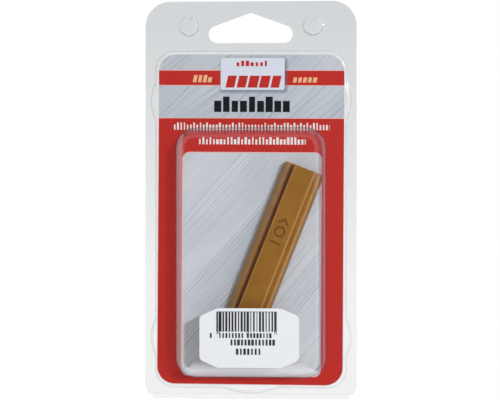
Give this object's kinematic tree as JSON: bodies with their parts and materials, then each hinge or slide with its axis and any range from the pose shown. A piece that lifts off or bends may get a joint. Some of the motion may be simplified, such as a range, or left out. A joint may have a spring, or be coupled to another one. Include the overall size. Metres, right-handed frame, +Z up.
{
  "type": "furniture repair wax stick in a hang pack",
  "caption": "Furniture repair wax stick lying loose in the bubble of a clear hang-sell pack, which folds open at its bottom edge and holds a printed card.",
  "frame": {"origin": "apex of the hang hole, on the plane where the two halves of the pack meet", "axes": "+Z up, the front of the pack faces -Y, +X to the right as seen from the front"},
  "size_m": [0.085, 0.0164, 0.16],
  "materials": {
    "clear_front": "clear gloss",
    "clear_back": "clear gloss",
    "clear_hinge": "clear gloss",
    "card": "printed, satin",
    "label": "matt",
    "wax": "waxy satin"
  },
  "bodies": {
    "back": {"back_cover": "clear_back", "living_hinge": "clear_hinge", "insert_card": "card"},
    "front": {"front_cover": "clear_front", "price_label": "label"},
    "stick": {"wax_stick": "wax"}
  },
  "joints": [
    {"name": "cover_hinge", "type": "hinge", "parent": "back", "child": "front", "pos_m": [0, 0, -0.1546], "axis": [1, 0, 0], "range_deg": [0, 180]},
    {"name": "stick_tip", "type": "hinge", "parent": "front", "child": "stick", "pos_m": [-0.00808, -0.0065, -0.1372], "axis": [0, 1, 0], "range_deg": [-30, 0]}
  ]
}
